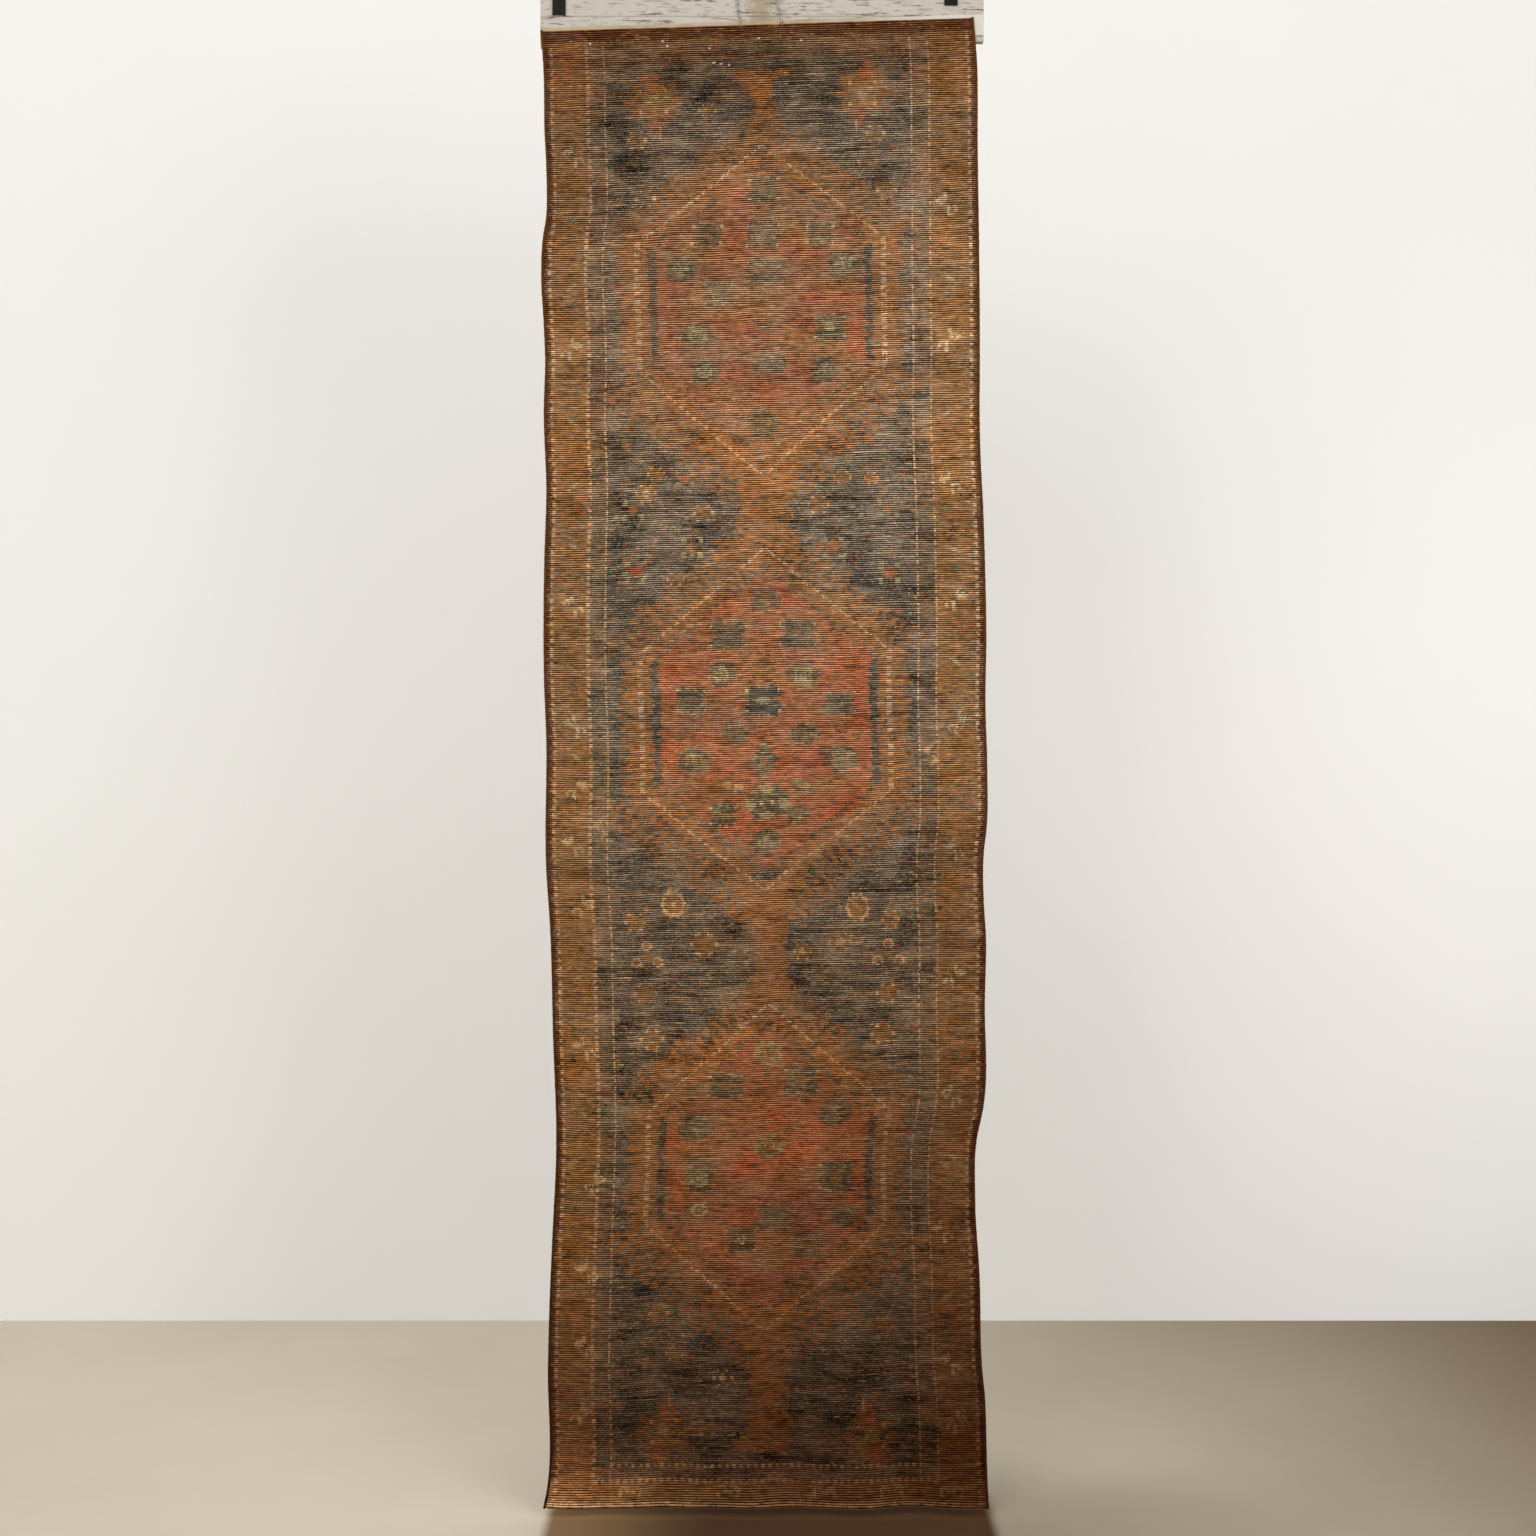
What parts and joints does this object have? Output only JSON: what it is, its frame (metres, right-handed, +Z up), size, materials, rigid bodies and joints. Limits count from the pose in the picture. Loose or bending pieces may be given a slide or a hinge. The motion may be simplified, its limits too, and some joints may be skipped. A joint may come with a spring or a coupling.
{
  "type": "sarab rug hung from a wooden board",
  "caption": "Worn long hand-knotted runner with hexagonal medallions, hung flat from a whitewashed plank by a cotton heading tape.",
  "frame": {"origin": "middle of the flat back of the board, where the board is fixed to what holds it up", "axes": "+X to the right as seen from the rug's face, -Y out of the rug's face towards the viewer, +Y out of the board's back, +Z up along the hanging length"},
  "size_m": [1.09, 0.0615, 3.6931],
  "materials": {
    "wool_pile": "worn knotted wool pile",
    "wool_binding": "overcast wool yarn",
    "cotton_tape": "plain woven cotton webbing",
    "whitewash": "distressed whitewash over grey wood",
    "black_iron": "black painted flat iron",
    "chain_steel": "small dull steel links"
  },
  "bodies": {
    "root": {"rug": "wool_pile", "selvedge_left": "wool_binding", "selvedge_right": "wool_binding", "heading_tape": "cotton_tape", "board": "whitewash", "strap_left": "black_iron", "strap_right": "black_iron", "chain_left": "chain_steel", "chain_right": "chain_steel"}
  },
  "joints": []
}
